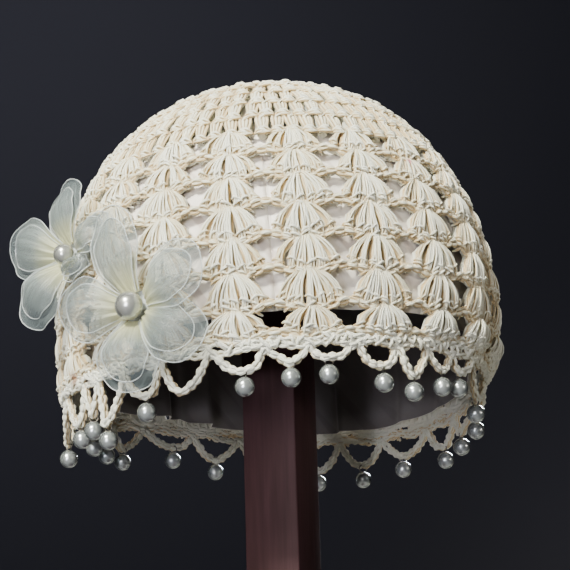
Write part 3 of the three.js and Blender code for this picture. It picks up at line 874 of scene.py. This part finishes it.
def sheer_organza(name, tip, middle, heart_tint, thinnest, thickest):
    """Stiff sheer polyester: see-through between its folds, milky along them, with a glitter."""
    m = new_material(name)
    place = add(m, "ShaderNodeTexCoord")
    heart = add(m, "ShaderNodeAttribute", {"attribute_name": "heart"})
    across = add(m, "ShaderNodeAttribute", {"attribute_name": "across"})
    shade = add(m, "ShaderNodeValToRGB", {"stops": [
        (0.0, colour(tip)), (0.6, colour(middle)), (0.9, colour(heart_tint)),
    ]}, {"Fac": heart.outputs["Fac"]})
    fan = add(m, "ShaderNodeCombineXYZ", {}, {"X": across.outputs["Fac"], "Y": heart.outputs["Fac"]})
    stretch = add(m, "ShaderNodeMapping", {"Scale": (5.0, 1.3, 1.0)}, {"Vector": fan.outputs["Vector"]})
    folds = add(m, "ShaderNodeTexNoise", {"Scale": 1.6, "Detail": 3.0, "Distortion": 0.6},
                {"Vector": stretch.outputs["Vector"]})
    streak = add(m, "ShaderNodeMapRange", {"From Min": 0.4, "From Max": 0.75, "To Max": 0.4},
                 {"Value": folds.outputs["Fac"]})
    rim = add(m, "ShaderNodeLayerWeight", {"Blend": 0.35})
    turned = add(m, "ShaderNodeMath", {"operation": "MULTIPLY_ADD", 1: 0.55},
                 {0: rim.outputs["Facing"], 2: streak.outputs["Result"]})
    near = add(m, "ShaderNodeMath", {"operation": "POWER", 1: 2.5}, {0: heart.outputs["Fac"]})
    thick = add(m, "ShaderNodeMath", {"operation": "MULTIPLY_ADD", 1: 0.7},
                {0: near.outputs[0], 2: turned.outputs[0]})
    alpha = add(m, "ShaderNodeMapRange", {"To Min": thinnest, "To Max": thickest},
                {"Value": thick.outputs[0]})
    grain = add(m, "ShaderNodeTexNoise", {"Scale": 1500.0, "Detail": 1.0},
                {"Vector": place.outputs["Object"]})
    glitter = add(m, "ShaderNodeBump", {"Strength": 1.0, "Distance": 0.25 * MM},
                  {"Height": grain.outputs["Fac"]})
    shader = add(m, "ShaderNodeBsdfPrincipled", {
        "Roughness": 0.3, "Sheen Weight": 0.4, "Sheen Roughness": 0.3,
    }, {
        "Base Color": shade.outputs["Color"], "Alpha": alpha.outputs["Result"],
        "Normal": glitter.outputs["Normal"],
    })
    return surface(m, shader)


def glass_pearl(name, face, middle, edge):
    """A glass pearl: a silvery coat under a clear gloss, with a painted sheen in its colour: light where it
    faces the viewer, darker between and lighter again at its edge.
    """
    m = new_material(name)
    turned = add(m, "ShaderNodeLayerWeight", {"Blend": 0.35})
    # Painted sheen: the colour follows how far the surface turns away from the viewer
    shade = add(m, "ShaderNodeValToRGB", {"stops": [
        (0.0, colour(face)), (0.45, colour(middle)), (0.9, colour(edge)),
    ]}, {"Fac": turned.outputs["Facing"]})
    shader = add(m, "ShaderNodeBsdfPrincipled", {
        "Roughness": 0.27, "Metallic": 0.7, "Coat Weight": 1.0, "Coat Roughness": 0.05,
    }, {"Base Color": shade.outputs["Color"]})
    return surface(m, shader)


def nickel_wire():
    """Nickel-plated jump rings, a little dull."""
    m = new_material("nickel-plated wire")
    place = add(m, "ShaderNodeTexCoord")
    dull = add(m, "ShaderNodeTexNoise", {"Scale": 700.0}, {"Vector": place.outputs["Object"]})
    rough = add(m, "ShaderNodeMapRange", {"To Min": 0.22, "To Max": 0.45}, {"Value": dull.outputs["Fac"]})
    shader = add(m, "ShaderNodeBsdfPrincipled", {"Base Color": colour("77736C"), "Metallic": 1.0},
                 {"Roughness": rough.outputs["Result"]})
    return surface(m, shader)


def varnished_mahogany():
    """Dark red mahogany with a dull varnish: long grain along the post, with short dark pores."""
    m = new_material("varnished mahogany")
    place = add(m, "ShaderNodeTexCoord")
    long_grain = add(m, "ShaderNodeMapping", {"Scale": (1, 1, 0.06)}, {"Vector": place.outputs["Object"]})
    bands = add(m, "ShaderNodeTexNoise", {"Scale": 420.0, "Detail": 4.0, "Distortion": 0.3},
                {"Vector": long_grain.outputs["Vector"]})
    shade = add(m, "ShaderNodeValToRGB", {"stops": [
        (0.3, colour("3F2729")), (0.5, colour("462C2F")), (0.7, colour("4D3236")),
    ]}, {"Fac": bands.outputs["Fac"]})
    pores = add(m, "ShaderNodeTexNoise", {"Scale": 1500.0, "Detail": 2.0},
                {"Vector": long_grain.outputs["Vector"]})
    bump = add(m, "ShaderNodeBump", {"Strength": 0.25, "Distance": 0.1 * MM},
               {"Height": pores.outputs["Fac"]})
    shader = add(m, "ShaderNodeBsdfPrincipled", {"Roughness": 0.6, "Specular IOR Level": 0.25},
                 {"Base Color": shade.outputs["Color"], "Normal": bump.outputs["Normal"]})
    return surface(m, shader)


COTTON = crochet_cotton()
# The third colour of each satin is the painted shade in its creases
SATIN = polyester_satin("polyester satin lining", "E4DBD3", "F0EAE4", "B09D93", 0.42)
# The wrong side is duller than the face, as real satin is, and is painted far darker as painted shade inside
# the hat
SHADED_SATIN_WRONG_SIDE = polyester_satin("wrong side of satin lining in painted shade", "625C5B", "716B69", "5A5352", 0.55)
ORGANZA = sheer_organza("sheer organza", "7C888C", "8E9998", "C6C79F", 0.2, 0.9)
ORGANZA_RIM = sheer_organza("rolled organza edge", "D8E0E2", "CDD3CC", "CFCCA8", 0.5, 0.95)
PEARL = glass_pearl("silver glass pearl", "D0D7D8", "A8AFB0", "D4D8D8")
WHITE_PEARL = glass_pearl("white glass pearl", "D6D8D4", "B0B1AC", "DDDCD5")
WIRE = nickel_wire()
MAHOGANY = varnished_mahogany()

# The hat
crown_radii = crown_rounds()
half_way = len(crown_radii) // 2 - 1
yarn_piece("crown_side_stitches", crown_strands(crown_radii[:half_way + 1]), 0, 0, "crown")
yarn_piece("crown_top_stitches", crown_strands(crown_radii[half_way:]), 0, 0)
yarn_piece("lace_round_0", lace_round(0), 1, 0)
for number in range(1, 7):
    yarn_piece(f"lace_round_{number}", lace_round(number), 1, 0, f"shell_round_{number}")
# The picots and band are raised 2.4 mm in the colour, so they take less painted shade
yarn_piece("picots_and_band", picot_strands(), 1, 2.4, "picot_edging")
hung_lining()
for index, (azimuth, dip) in enumerate(LOOPS):
    if index != BARE_LOOP:
        hanging_bead(index + 1, azimuth, dip)
for flower in FLOWERS:
    organza_flower(flower)

# The stand
head_edge = STAND["head_radius"] * math.cos(math.radians(STAND["head_spread"]))
underside = RIM_HEIGHT + HEAD_CENTRE + head_edge - STAND["head_thickness"]
post_foot = STAND["base_thickness"] + STAND["clearance"]
post = (STAND["post_side"], STAND["post_side"], underside - STAND["clearance"] - post_foot)
base = (STAND["base_side"], STAND["base_side"], STAND["base_thickness"])
wooden_box("post_of_stand", "stand_post", post, post_foot + post[2] / 2, 0.8)
wooden_box("base_of_stand", "stand_base", base, base[2] / 2, 3)
stand_head()


# The floor, the backdrop and the lights
def plain_surface(name, hexcode, roughness):
    m = new_material(name)
    shader = add(m, "ShaderNodeBsdfPrincipled", {"Base Color": colour(hexcode), "Roughness": roughness})
    return surface(m, shader)


def stage_plane(name, width, length, matrix, material):
    mesh = bmesh.new()
    bmesh.ops.create_grid(mesh, x_segments=1, y_segments=1, size=0.5)
    bmesh.ops.scale(mesh, vec=(width, length, 1), verts=mesh.verts)
    bmesh.ops.transform(mesh, matrix=matrix, verts=mesh.verts)
    plane = piece_from(name, mesh)
    plane.data.materials.append(material)


def soft_light(name, place, towards, size, watts, tint, spread):
    data = bpy.data.lights.new(name, "AREA")
    data.shape = "DISK"
    data.size = size
    data.spread = math.radians(spread)
    data.energy = watts
    data.color = colour(tint)[:3]
    light = bpy.data.objects.new(name, data)
    light.location = place
    light.rotation_mode = "QUATERNION"
    light.rotation_quaternion = (Vector(towards) - Vector(place)).to_track_quat("-Z", "Y")
    bpy.context.scene.collection.objects.link(light)


LIGHTS = [
    # name, place, towards, size, watts, tint, spread
    ("key", (-0.55, -1.0, 1.15), (0, 0, 0.315), 0.4, 1.42, "FDFCEC", 17),
    ("front fill", (-0.4, -1.35, 0.5), (0, 0, 0.3), 0.5, 0.26, "FDF8F0", 15),
    ("low fill", (-0.5, -1.3, 0.04), (0, 0.05, 0.2), 0.3, 0.11, "F2F2FF", 12),
    ("right fill", (1.2, -0.6, 0.4), (0.08, 0, 0.3), 0.2, 0.035, "FFF6E8", 10),
    ("top", (0.05, 0.15, 1.3), (0, 0, 0.3), 0.4, 0.14, "F4F6FF", 30),
    ("back fill", (0.3, 1.25, 0.75), (0, 0, 0.27), 0.5, 0.9, "F4F6FF", 20),
    ("backdrop light", (-0.5, 0.5, 1.3), (-0.4, 1.6, 0.9), 0.8, 5.0, "EEF0FF", 140),
]
for light_row in LIGHTS:
    soft_light(*light_row)

stage_plane("floor", 6, 6, Matrix.Identity(4), plain_surface("pale studio floor", "C6C4C0", 0.8))
backdrop = Matrix.Translation((0, 1.6, 1.5)) @ Matrix.Rotation(math.radians(90), 4, "X")
stage_plane("backdrop", 8, 6, backdrop, plain_surface("grey studio paper", "3C3C42", 0.95))

world = bpy.data.worlds.new("studio")
world.use_nodes = True
world.node_tree.nodes["Background"].inputs["Color"].default_value = colour("8A8D92")
world.node_tree.nodes["Background"].inputs["Strength"].default_value = 0.025
bpy.context.scene.world = world
